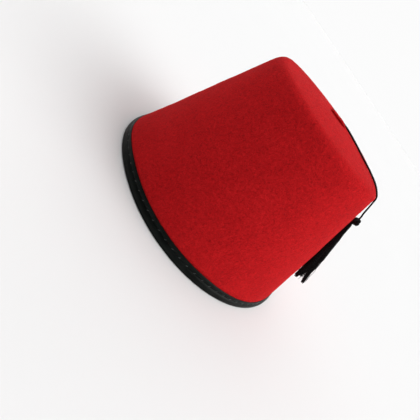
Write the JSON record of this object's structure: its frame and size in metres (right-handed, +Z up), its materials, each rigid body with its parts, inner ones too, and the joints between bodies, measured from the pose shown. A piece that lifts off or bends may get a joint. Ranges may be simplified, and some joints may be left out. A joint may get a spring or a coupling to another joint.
{
  "type": "fez hat",
  "caption": "Brimless felt cap with a straight tapering wall, rounded shoulder and slightly domed top, a folded bound rim, and a tassel on a thin cord from the top.",
  "frame": {"origin": "middle of the rim, on the surface that the hat stands on", "axes": "+Z up through the middle of the top; +X towards the side where the cord comes over the edge and the tassel lies; -Y is the front, towards the camera of the picture"},
  "size_m": [0.1854, 0.1834, 0.1249],
  "materials": {
    "felt": "matt red pressed felt with a fine crinkled fibre surface",
    "band": "soft black coated binding with a dull sheen on its folds and a row of stitches",
    "cord": "black twisted thread with a slight silky sheen"
  },
  "bodies": {
    "root": {"crown": "felt", "rim_band": "band", "tassel_cord": "cord", "tassel": "cord", "inner_knot": "cord"}
  },
  "joints": []
}
